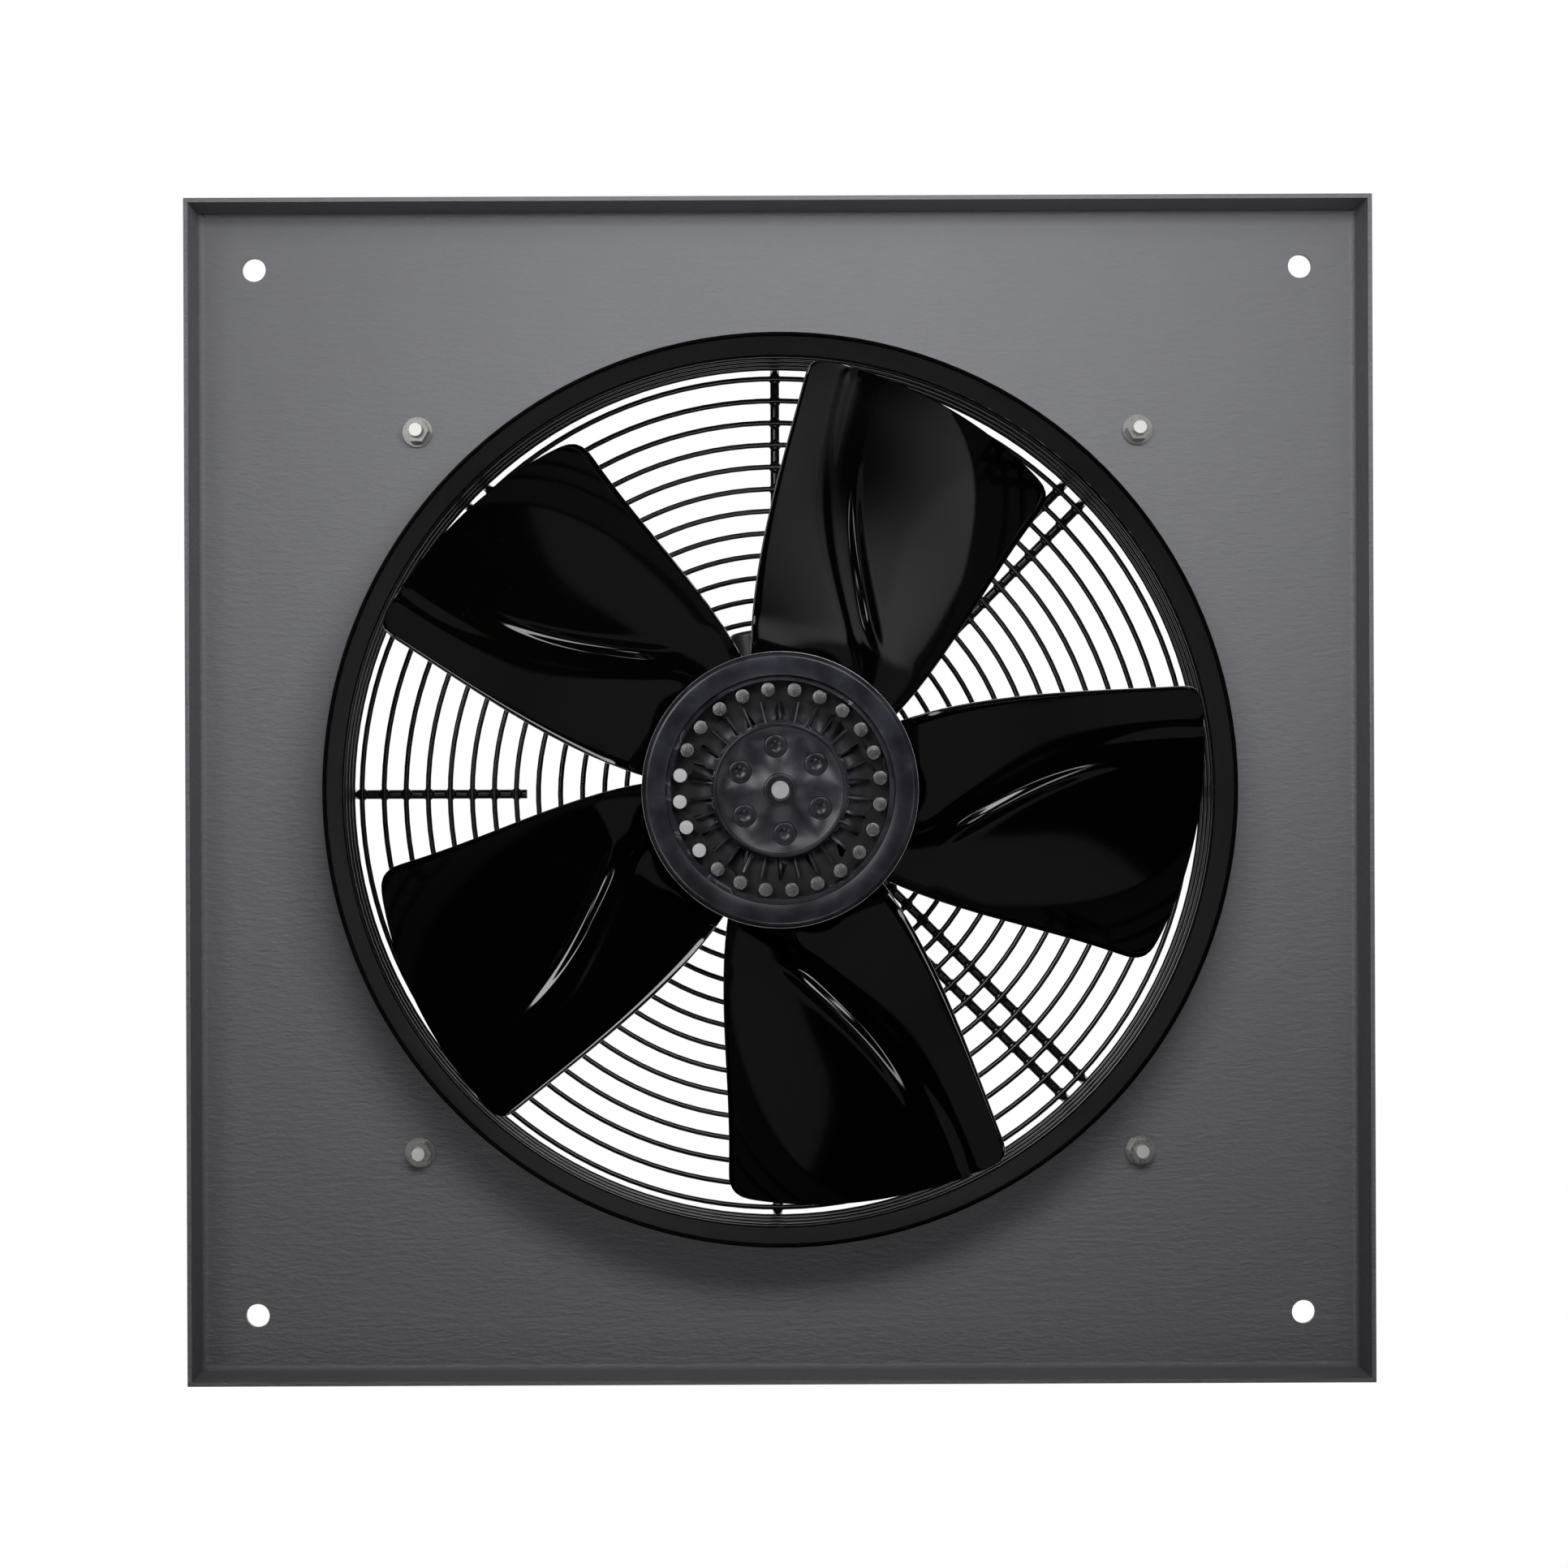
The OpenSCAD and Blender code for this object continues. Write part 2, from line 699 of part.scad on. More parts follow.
// Depth of the mean surface at a width share s and a distance from the crease
function blade_y(u, r, s, w) = near_y(u) + (far_y(u) - near_y(u)) * s
    - 4 * camber * s * (1 - s)
    + crease_drop * (soft(ramp(w, 0, crease_w)) - s)
    - bead_rise(r) * (1 + cos(180 * min(abs(w - bead_offset) / bead_half(r), 1))) / 2
    + fold_sink(s, r);

// Width shares of the lines across a blade at a span share
function line_shares(u, r) = let (a = arc_w(u, r), c = crease_share(u), b = c + bead_offset / a,
        h = bead_half(r) / a, e = b + h)
    concat([for (q = near_line_shares) q * c],
        [for (q = crease_line_shares) c + q * crease_w / a],
        [for (q = bead_line_shares) b + q * h],
        [for (q = far_line_shares) e + (1 - e) * q]);

function blade_point(u, r, s) = let (angle = near_angle(u) + (far_angle(u) - near_angle(u)) * s)
    [r * cos(angle), blade_y(u, r, s, (s - crease_share(u)) * arc_w(u, r)), r * sin(angle)];

// Grid of the mean surface, row by row from the hub to the tip
blade_grid = [for (u = row_shares) let (r = blade_root_r + (impeller_r - blade_root_r) * u,
        a = arc_w(u, r), lo = corner_cut(r, near_corner_r) / a, hi = 1 - corner_cut(r, far_corner_r) / a)
    [for (s = line_shares(u, r)) blade_point(u, r, lo + (hi - lo) * s)]];
row_last = len(row_shares) - 1;
line_last = len(blade_grid[0]) - 1;

// Unit normal of the mean surface at a grid point, on the wall side
function grid_normal(i, j) = let (
        along = blade_grid[min(i + 1, row_last)][j] - blade_grid[max(i - 1, 0)][j],
        across = blade_grid[i][min(j + 1, line_last)] - blade_grid[i][max(j - 1, 0)],
        n = cross(along, across))
    n / norm(n);

// A twisted blade of sheet with a crease, a pressed bead and a folded root
module blade(a) {
    line_count = line_last + 1;
    sheet = line_count * (row_last + 1);
    points = [for (side = [1, -1], i = [0:row_last], j = [0:line_last])
        blade_grid[i][j] + grid_normal(i, j) * side * blade_t / 2];
    faces = concat(
        [for (i = [0:row_last - 1], j = [0:line_last - 1], half = [0, 1])
            let (p = i * line_count + j, q = p + line_count) half == 0 ? [p, p + 1, q] : [p + 1, q + 1, q]],
        [for (i = [0:row_last - 1], j = [0:line_last - 1], half = [0, 1])
            let (p = sheet + i * line_count + j, q = p + line_count)
                half == 0 ? [p, q, p + 1] : [p + 1, q, q + 1]],
        [for (j = [0:line_last - 1], end = [0, row_last], half = [0, 1])
            let (p = end * line_count + j, flip = end == 0)
                half == 0 ? (flip ? [p, sheet + p, p + 1] : [p, p + 1, sheet + p])
                    : (flip ? [p + 1, sheet + p, sheet + p + 1] : [p + 1, sheet + p + 1, sheet + p])],
        [for (i = [0:row_last - 1], end = [0, line_last], half = [0, 1])
            let (p = i * line_count + end, q = p + line_count, flip = end == 0)
                half == 0 ? (flip ? [p, q, sheet + p] : [p, sheet + p, q])
                    : (flip ? [q, sheet + q, sheet + p] : [q, sheet + p, sheet + q])]);
    color(black_gloss) at_angle(a) polyhedron(points = points, faces = faces, convexity = 6);
}

// Rotor can: shell, recessed front wall with pin holes, and cooling webs round the disc
module rotor_can() {
    color(hub_black) difference() {
        union() {
            turned(big_fn) union() {
                band(can_r - can_t, can_r, can_front, can_rear);
                band(shaft_r + slip, can_r, floor_front, floor_back);
                band(disc_r + seat_gap, disc_r + seat_gap + web_t, floor_front - web_h, floor_front);
            }
            for (k = [0:web_count - 1]) at_angle(90 + k * 360 / web_count)
                translate([disc_r + seat_gap, floor_front - web_h, -web_t / 2])
                    cube([web_out_r - disc_r - seat_gap, web_h + floor_t / 2, web_t]);
        }
        for (k = [0:pin_count - 1]) at_angle(pin_angle + k * 360 / pin_count)
            translate([pin_circle_r, 0, 0])
                axial_rod(pin_r + slip, floor_front - web_h - overrun, floor_back + overrun);
        for (k = [0:screw_count - 1]) at_angle(hub_screw_angle + k * 360 / screw_count)
            translate([screw_circle_r, 0, 0])
                axial_rod(hub_screw_r + seat_gap, floor_front - overrun, floor_back + overrun);
    }
}

module rotor_core() {
    color(iron) difference() {
        turned(big_fn) band(rotor_core_in, core_r, stack_front, stack_rear);
        for (k = [0:pin_count - 1]) at_angle(pin_angle + k * 360 / pin_count)
            translate([pin_circle_r, 0, 0])
                axial_rod(bar_r + slip, stack_front - overrun, stack_rear + overrun, wire_fn);
    }
}

// Cast cage: two end rings, the bars between them and the pins that show on the rotor's front
module rotor_cage() {
    color(aluminium) union() {
        turned(mid_fn) union() {
            band(rotor_core_in, core_r, stack_front - cage_end, stack_front);
            band(rotor_core_in, core_r, stack_rear, stack_rear + cage_end);
        }
        for (k = [0:pin_count - 1]) at_angle(pin_angle + k * 360 / pin_count)
            translate([pin_circle_r, 0, 0]) {
                axial_rod(bar_r, stack_front - cage_end / 2, stack_rear + cage_end / 2, wire_fn);
                axial_rod(pin_r, pin_front, stack_front - cage_end / 2);
            }
    }
}

module hub_disc() {
    color(hub_black) difference() {
        turned(mid_fn) union() {
            band(shaft_r + slip, disc_r, disc_front, floor_front);
            band(shaft_r + slip, disc_boss_r, disc_front - disc_boss_h, floor_front);
            band(disc_r - disc_lip_w, disc_r, disc_front - disc_lip_h, floor_front);
        }
        for (k = [0:screw_count - 1]) at_angle(hub_screw_angle + k * 360 / screw_count)
            translate([screw_circle_r, 0, 0]) {
                axial_rod(hub_screw_r + seat_gap, disc_front - overrun, floor_front + overrun);
                axial_rod(hub_screw_head_r + 2 * seat_gap, disc_front - overrun,
                    disc_front + hub_screw_head_h);
            }
    }
}

module hub_screws() {
    color(hub_black) for (k = [0:screw_count - 1]) at_angle(hub_screw_angle + k * 360 / screw_count)
        translate([screw_circle_r, 0, 0]) difference() {
            union() {
                axial_rod(hub_screw_head_r, disc_front, disc_front + hub_screw_head_h);
                axial_rod(hub_screw_r, disc_front + hub_screw_head_h / 2,
                    floor_back + shaft_flange_t - seat_gap);
            }
            axial_hex(hub_screw_af, disc_front - overrun, disc_front + hub_screw_socket);
        }
}

module shaft_flange() {
    color(steel) difference() {
        turned(mid_fn) union() {
            band(shaft_r + slip, shaft_flange_r, floor_back, floor_back + shaft_flange_t);
            band(shaft_r + slip, shaft_boss_r, floor_back, floor_back + shaft_flange_t + shaft_boss_l);
            band(shaft_r + slip, shaft_r + race_wall, floor_back, front_bearing);
        }
        for (k = [0:screw_count - 1]) at_angle(hub_screw_angle + k * 360 / screw_count)
            translate([screw_circle_r, 0, 0])
                axial_rod(hub_screw_r + slip, floor_back - overrun, floor_back + shaft_flange_t + overrun);
    }
}

// Depth of the clip's groove, behind the rear bearing
clip_y = rear_bearing + bearing_w;

module rotor_shaft() {
    color(steel) turned(mid_fn) difference() {
        band(0, shaft_r, shaft_front, clip_y + shaft_tail);
        band(shaft_r - clip_depth, shaft_r + overrun, clip_y + seat_gap, clip_y + clip_t + 2 * seat_gap);
    }
}

module shaft_clip() {
    color(steel) difference() {
        turned(mid_fn) band(shaft_r - clip_depth + slip, clip_r,
            clip_y + seat_gap + slip, clip_y + clip_t + seat_gap);
        translate([0, clip_y - overrun, -clip_t])
            cube([clip_r + overrun, 3 * clip_t + overrun, 2 * clip_t]);
    }
}

wall_plate();
nozzle_ring();
guard_face_rings();
guard_side_ring(1);  // guard_side_ring_1
guard_side_ring(2);  // guard_side_ring_2
guard_side_ring(3);  // guard_side_ring_3
guard_side_ring(4);  // guard_side_ring_4
guard_arm(arm_angle);  // guard_arm_1
guard_arm(arm_angle + 90);  // guard_arm_2
guard_arm(arm_angle + 180);  // guard_arm_3
guard_arm(arm_angle + 270);  // guard_arm_4
guard_strut(0);  // guard_strut_1
guard_strut(90);  // guard_strut_2
guard_strut(180);  // guard_strut_3
guard_strut(270);  // guard_strut_4
guard_bolts();
guard_washers();
guard_nuts();
motor_bracket();
motor_screws();
stator_flange();
gland_body();
gland_nut();
gland_seal();
stator_core();
stator_windings();
slot_insulators();
bearing_outer_rings();
bearing_shields();
preload_spring();
end_cap();
hub_ring();
blade(0);  // blade_1
blade(360 / blade_count);  // blade_2
blade(2 * 360 / blade_count);  // blade_3
blade(3 * 360 / blade_count);  // blade_4
blade(4 * 360 / blade_count);  // blade_5
rotor_can();
rotor_core();
rotor_cage();
hub_disc();
hub_screws();
shaft_flange();
rotor_shaft();
bearing_inner_rings();
shaft_clip();
front_ball_set();
rear_ball_set();
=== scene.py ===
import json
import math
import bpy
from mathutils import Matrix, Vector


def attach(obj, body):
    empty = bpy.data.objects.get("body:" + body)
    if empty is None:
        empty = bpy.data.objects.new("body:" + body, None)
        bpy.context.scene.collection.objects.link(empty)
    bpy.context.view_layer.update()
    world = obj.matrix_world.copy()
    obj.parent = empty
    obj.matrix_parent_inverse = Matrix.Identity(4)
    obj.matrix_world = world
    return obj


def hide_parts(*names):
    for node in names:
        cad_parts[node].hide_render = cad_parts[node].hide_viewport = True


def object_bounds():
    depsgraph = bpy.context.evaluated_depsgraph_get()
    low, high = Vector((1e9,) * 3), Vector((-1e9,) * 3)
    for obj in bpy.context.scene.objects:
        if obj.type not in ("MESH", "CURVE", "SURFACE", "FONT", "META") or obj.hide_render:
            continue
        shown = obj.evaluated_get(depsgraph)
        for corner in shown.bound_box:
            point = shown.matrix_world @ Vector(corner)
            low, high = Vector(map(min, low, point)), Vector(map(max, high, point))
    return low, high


bl_info = {
    "name": "Axial Wall Fan",
    "version": (1, 0, 0),
    "blender": (4, 5, 0),
    "location": "View3D > Sidebar > Fan",
    "description": "Dresses an axial wall fan and sets it on a plain studio stage",
    "category": "Object",
}

import bpy
from mathutils import Vector

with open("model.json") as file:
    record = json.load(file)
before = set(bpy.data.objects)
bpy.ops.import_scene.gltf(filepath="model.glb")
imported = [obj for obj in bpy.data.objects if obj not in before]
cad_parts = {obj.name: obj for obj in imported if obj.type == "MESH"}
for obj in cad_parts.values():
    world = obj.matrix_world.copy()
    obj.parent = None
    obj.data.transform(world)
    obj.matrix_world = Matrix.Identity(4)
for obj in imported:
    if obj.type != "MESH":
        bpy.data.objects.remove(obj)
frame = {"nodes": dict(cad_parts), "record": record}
solid_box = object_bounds()

BLADES = sorted(name for name in frame["nodes"] if name.startswith("blade_"))
SLOT_OF = {piece["node"]: piece["material_slot"] for piece in frame["record"]["subparts"]}
SENSOR = 36  # width of the camera's sensor, in millimetres
MERGE_GAP = 0.000002  # points of a solid this close are one point, in metres


def nodes_of(*slots):
    """Names of the solids that take their finish from these slots."""
    return sorted(name for name, slot in SLOT_OF.items() if slot in slots)


class Term:
    """A value or colour in a finish. Arithmetic on it adds the shader's maths nodes."""

    def __init__(self, finish, socket):
        self.finish = finish
        self.socket = socket

    def maths(self, operation, *others):
        return self.finish.node("Math", {"operation": operation}, [self, *others])

    def __add__(self, other):
        return self.maths("ADD", other)

    __radd__ = __add__

    def __mul__(self, other):
        return self.maths("MULTIPLY", other)

    def __sub__(self, other):
        return self.maths("SUBTRACT", other)

    def __rsub__(self, other):
        return self.finish.node("Math", {"operation": "SUBTRACT"}, [other, self])

    def __pow__(self, other):
        return self.maths("POWER", other)

    def axis(self, letter):
        """One coordinate of a vector."""
        return self.finish.node("SeparateXYZ", {}, [self], letter.upper())

    def stretched(self, x, y, z):
        """The vector with each coordinate multiplied by its own factor."""
        return self.finish.node("VectorMath", {"operation": "MULTIPLY"}, [self, (x, y, z)])

    def between(self, low, high):
        """0 below the low value, 1 above the high one, and a smooth step from one to the other."""
        return self.finish.node("MapRange", {"interpolation_type": "SMOOTHSTEP"}, [self, low, high])


class Nodes:
    """Adds nodes to a material or to the world."""

    def __init__(self, tree):
        self.tree = tree

    def plug(self, target, value):
        if isinstance(value, Term):
            self.tree.links.new(value.socket, target)
        elif isinstance(value, (tuple, list)) and target.type == "RGBA":
            target.default_value = (*value[:3], 1)
        else:
            target.default_value = value

    def node(self, kind, settings, values, output=0):
        """Adds a node, with its settings made before its inputs are filled in order or by name."""
        made = self.tree.nodes.new("ShaderNode" + kind)
        for name, value in settings.items():
            setattr(made, name, value)
        pairs = values.items() if isinstance(values, dict) else enumerate(values)
        for place, value in pairs:
            self.plug(made.inputs[place], value)
        return None if output is None else Term(self, made.outputs[output])


class Finish(Nodes):
    """A procedural finish: one Principled shader and the nodes that feed it."""

    def __init__(self, name, **fixed):
        self.material = bpy.data.materials.new(name)
        self.material.use_nodes = True
        super().__init__(self.material.node_tree)
        self.shader = self.tree.nodes["Principled BSDF"]
        for socket, value in fixed.items():
            self.feed(socket.replace("_", " "), value)

    def feed(self, socket, value):
        """Gives a socket of the shader a value or a link."""
        self.plug(self.shader.inputs[socket], value)
        return self

    def place(self):
        """Where a point lies on the fan, in metres."""
        return self.node("TexCoord", {}, {}, "Object")

    def radius(self):
        """Distance from the fan's axis, in metres."""
        where = self.place()
        return (where.axis("x") ** 2 + where.axis("z") ** 2) ** 0.5

    def noise(self, where, scale, detail=3, rough=0.5):
        """Cloudy values about one half, with the scale in clouds for each metre."""
        values = {"Vector": where, "Scale": scale, "Detail": detail, "Roughness": rough}
        return self.node("TexNoise", {}, values)

    def spots(self, where, scale):
        """Distance to the nearest of many scattered points, in cells."""
        return self.node("TexVoronoi", {}, {"Vector": where, "Scale": scale})

    def blend(self, share, first, second):
        """A colour between two, by a share."""
        values = {"Factor": share, 6: first, 7: second}
        return self.node("Mix", {"data_type": "RGBA"}, values, 2)

    def bump(self, height, distance, strength=1):
        """Makes the surface rise by a height times a distance in metres."""
        values = {"Height": height, "Distance": distance, "Strength": strength}
        return self.feed("Normal", self.node("Bump", {}, values))


def ramp(value, low, high):
    """Straight blend from 0 to 1 between two values."""
    return min(max((value - low) / (high - low), 0), 1)


def soft(share):
    """The same blend with soft ends."""
    return share * share * (3 - 2 * share)


class PressedSheet:
    """Depth of a blade's sheet, in millimetres, as the solid has it and as it is pressed here.

    A point has a radius r, a share u of the way from root to tip, a share s of the way from the
    near edge to the far one, and a distance w past the crease.
    """

    root_r, tip_r = 62.2, 199
    crease_w, bead_offset = 6, 15
    solid_arch, solid_crease = 28, 4
    solid_bead = {"height": 4.2, "width": 6, "start": 80, "full": 88, "end": 166}
    pressed_arch = 1.5
    pressed_bead = {"height": 3.4, "width": 5.2, "start": 84, "full": 90, "end": 160}
    # Where the step and the near facet's slope begin to grow towards the tip, and where they end
    outer_start, outer_full = 0.45, 0.85
    step_root, step_growth = 2.5, 1.5
    slope_root, slope_growth = 1.06, 0.1

    def near_angle(self, u):
        return 102 - 25.5 * u + 9.3 * u * u

    def far_angle(self, u):
        return 32 + 28.5 * u - 13.7 * u * u

    def near_depth(self, u):
        return -30 + 5 * u

    def far_depth(self, u):
        return 25 + 26 * u

    def crease_share(self, u):
        return 0.13 + 0.49 * (1 - max(u - 0.05, 0)) ** 2.8

    def bead(self, r, w, height, width, start, full, end):
        """Rise of the bead, which fades out towards the tip."""
        fade = ramp(r, full, end)
        across = min(abs(w - self.bead_offset) / (width * (1 - fade / 2)), 1)
        return height * soft(ramp(r, start, full)) * (1 - fade) * (1 + math.cos(math.pi * across)) / 2

    def solid_depth(self, u, r, s, w):
        near, far = self.near_depth(u), self.far_depth(u)
        arch = self.solid_arch * s * (1 - s)
        crease = self.solid_crease * (soft(ramp(w, 0, self.crease_w)) - s)
        return near + (far - near) * s - arch + crease - self.bead(r, w, **self.solid_bead)

    def pressed_depth(self, u, r, s, w, width):
        """Flat near facet, a step at the crease, and a main facet with a slight arch."""
        near, far = self.near_depth(u), self.far_depth(u)
        crease = self.crease_share(u)
        outer = soft(ramp(u, self.outer_start, self.outer_full))
        slope = (far - near) / width * (self.slope_root + self.slope_growth * outer)
        if w <= 0:
            return near + slope * s * width
        step = self.step_root + self.step_growth * outer
        start = near + slope * crease * width
        q = ramp(w, self.crease_w, (1 - crease) * width)
        flat = start + step * soft(ramp(w, 0, self.crease_w)) + (far - start - step) * q
        return flat - self.pressed_arch * 4 * q * (1 - q) - self.bead(r, w, **self.pressed_bead)

    def shift(self, place, turn):
        """How far back a point of the solid moves, from its place in metres and its blade's angle."""
        r = math.hypot(place.x, place.z) * 1000
        angle = (math.degrees(math.atan2(place.z, place.x)) - turn + 180) % 360 - 180
        u = ramp(r, self.root_r, self.tip_r)
        spread = self.near_angle(u) - self.far_angle(u)
        s = ramp(self.near_angle(u) - angle, 0, spread)
        width = r * math.radians(spread)
        w = (s - self.crease_share(u)) * width
        return (self.pressed_depth(u, r, s, w, width) - self.solid_depth(u, r, s, w)) / 1000


def lit(colour, amount):
    """A colour made lighter or darker by a factor."""
    return tuple(channel * amount for channel in colour[:3])


def grey_enamel(colours):
    """Stoved grey enamel with the fine horizontal peel that the sheet's lacquer shows."""
    finish = Finish("grey_enamel", IOR=1.5, Specular_IOR_Level=0.4)
    where = finish.place()
    peel = finish.noise(where.stretched(0.4, 1, 1), 850, 3, 0.55)
    grain = finish.noise(where, 2600, 2, 0.6)
    ripple = finish.noise(where.stretched(0.35, 1, 1), 380, 2, 0.5)
    cloud = finish.noise(where, 9, 2)
    shade = cloud * 0.4 + grain * 0.3 + ripple * 0.3
    base = colours.plate
    finish.feed("Base Color", finish.blend(shade, lit(base, 0.9), lit(base, 1.1)))
    finish.feed("Roughness", 0.42 + peel * 0.16)
    return finish.bump(peel * 0.7 + grain * 0.2 + ripple * 1.2, 0.0006, 0.85)


def black_gloss(name, base, rough, peel_height=0.00001, dust=0.5):
    """Black gloss enamel with a slight orange peel, faint clouds and a little dust."""
    finish = Finish(name, IOR=1.5, Specular_IOR_Level=0.5)
    where = finish.place()
    peel = finish.noise(where, 420, 2, 0.4)
    cloud = finish.noise(where, 14, 3)
    speck = 1 - finish.spots(where, 330).between(0.02, 0.07)
    dusty = speck * finish.noise(where, 26, 2).between(0.56, 0.7) * dust
    body = finish.blend(cloud, lit(base, 0.75), lit(base, 1.25))
    dust_colour = (0.16, 0.16, 0.15)
    finish.feed("Base Color", finish.blend(dusty * 0.5, body, dust_colour))
    finish.feed("Roughness", rough + cloud * 0.05 + dusty * 0.3)
    return finish.bump(peel, peel_height, 0.35)


def matt_black(colours):
    """Black of the nozzle, a little uneven, and duller on its inside than on its rim."""
    finish = Finish("matt_black", IOR=1.5, Specular_IOR_Level=0.04)
    where = finish.place()
    cloud = finish.noise(where, 30, 4, 0.6)
    grain = finish.noise(where, 1800, 2)
    finish.feed("Base Color", finish.blend(cloud, lit(colours.wire, 0.15), lit(colours.wire, 0.45)))
    inner = 1 - finish.radius().between(0.2066, 0.2074)
    finish.feed("Roughness", 0.26 + cloud * 0.1 + inner * 0.45)
    return finish.bump(grain + cloud * 0.3, 0.00012, 0.6)


def hub_enamel(colours):
    """Blue-black enamel on the hub, blotchy where it has been handled."""
    finish = Finish("hub_enamel", IOR=1.5, Specular_IOR_Level=0.3)
    where = finish.place()
    blotch = finish.noise(where, 75, 4, 0.6)
    grain = finish.noise(where, 1500, 2)
    base = colours.hub
    finish.feed("Base Color", finish.blend(blotch.between(0.35, 0.68), lit(base, 0.65), lit(base, 1.45)))
    finish.feed("Roughness", 0.17 + blotch * 0.16)
    return finish.bump(blotch * 0.6 + grain * 0.25, 0.00008, 0.5)


def recess_enamel(colours):
    """The hub's enamel in the recess of the can, with painted shade that darkens it nearly to black where
    it lies deep.
    """
    finish = Finish("recess_enamel", IOR=1.5, Specular_IOR_Level=0.4)
    where = finish.place()
    blotch = finish.noise(where, 110, 4, 0.6)
    deep = where.axis("y").between(-0.0295, -0.0245)
    outer = finish.radius().between(0.0325, 0.0385)
    rim = finish.radius().between(0.0492, 0.0498)
    # Painted shade: the enamel deep in the recess, past the disc and inside the rim, is blended to near
    # black
    painted_shade = deep * outer * (1 - rim)
    body = finish.blend(blotch.between(0.3, 0.7), lit(colours.hub, 0.7), lit(colours.hub, 1.4))
    finish.feed("Base Color", finish.blend(painted_shade, body, (0.0006, 0.0006, 0.0007)))
    finish.feed("Roughness", 0.2 + blotch * 0.16 + painted_shade * 0.4)
    return finish.bump(blotch, 0.00008, 0.5)


def pin_metal():
    """Cast pins: four flat ends at one side painted pale as a highlight, dull and stained on the rest."""
    finish = Finish("pin_metal")
    where = finish.place()
    # The painted highlight on the pale ends lies in one stretch of the circle, on its left
    left = 1 - where.axis("x").between(-0.0345, -0.0335)
    low = where.axis("z").between(-0.0315, -0.0305)
    high = 1 - where.axis("z").between(0.0115, 0.0125)
    painted_highlight = left * low * high
    stain = finish.noise(where, 260, 3)
    dull = finish.blend(stain, (0.2, 0.2, 0.21), (0.4, 0.4, 0.4))
    # Painted highlight: the pale colour on the four left ends stands in for a reflection, not bare metal
    finish.feed("Base Color", finish.blend(painted_highlight, dull, (0.36, 0.36, 0.37)))
    finish.feed("Metallic", 1 - painted_highlight * 0.75)
    finish.feed("Roughness", 0.22 + stain * 0.1 + painted_highlight * 0.2)
    return finish.bump(stain, 0.00002, 0.5)


def bare_metal(name, base, rough, lines=0.0, metallic=1.0):
    """Plain metal with small scratches and clouds, and lathe lines about the fan's axis if asked."""
    finish = Finish(name, Metallic=metallic)
    where = finish.place()
    cloud = finish.noise(where, 160, 3)
    scratch = finish.noise(where.stretched(1, 7, 1), 900, 2)
    finish.feed("Base Color", finish.blend(cloud, lit(base, 0.82), lit(base, 1.08)))
    finish.feed("Roughness", rough + scratch * 0.14)
    height = scratch * 0.5
    if lines:
        turned = finish.radius().maths("MULTIPLY", lines).maths("SINE")
        height = height + turned * 0.4
    return finish.bump(height, 0.00002, 0.5)


def stacked_sheet():
    """Edges of stacked electrical sheet."""
    finish = Finish("stacked_sheet", Metallic=0.8)
    where = finish.place()
    sheet = 0.0005
    layer = (where.axis("y") * round(2 * math.pi / sheet)).maths("SINE")
    stain = finish.noise(where, 90, 3)
    finish.feed("Base Color", finish.blend(stain, (0.12, 0.12, 0.13), (0.24, 0.23, 0.23)))
    finish.feed("Roughness", 0.5 + stain * 0.15)
    return finish.bump(layer, 0.00008, 0.6)


def wound_wire():
    """Enamelled wire, wound round the stator."""
    finish = Finish("wound_wire", Metallic=0.9)
    where = finish.place()
    turn = (finish.radius() * 9000).maths("SINE") + (where.axis("y") * 7000).maths("SINE")
    stain = finish.noise(where, 120, 2)
    finish.feed("Base Color", finish.blend(stain, (0.42, 0.15, 0.05), (0.62, 0.27, 0.1)))
    finish.feed("Roughness", 0.32 + stain * 0.1)
    return finish.bump(turn, 0.00015, 0.7)


def moulded(name, base, rough):
    """Moulded plastic or rubber with a fine eroded grain."""
    finish = Finish(name, IOR=1.46)
    where = finish.place()
    grain = finish.noise(where, 3200, 2, 0.6)
    cloud = finish.noise(where, 60, 2)
    finish.feed("Base Color", finish.blend(cloud, lit(base, 0.85), lit(base, 1.15)))
    finish.feed("Roughness", rough + grain * 0.15)
    return finish.bump(grain, 0.00003, 0.5)


class FanColours(bpy.types.PropertyGroup):
    """Paints of the fan, as linear colours."""

    plate: bpy.props.FloatVectorProperty(
        name="Plate paint", description="Grey enamel of the wall plate", subtype="COLOR", size=3,
        min=0, max=1, default=(0.118, 0.119, 0.128))
    blade: bpy.props.FloatVectorProperty(
        name="Blade paint", description="Black gloss enamel of the blades", subtype="COLOR", size=3,
        min=0, max=1, default=(0.0008, 0.0008, 0.0007))
    wire: bpy.props.FloatVectorProperty(
        name="Basket coat", description="Black coat of the wire basket", subtype="COLOR", size=3,
        min=0, max=1, default=(0.002, 0.002, 0.002))
    hub: bpy.props.FloatVectorProperty(
        name="Hub paint", description="Blue-black enamel of the hub", subtype="COLOR", size=3,
        min=0, max=1, default=(0.012, 0.012, 0.0165))


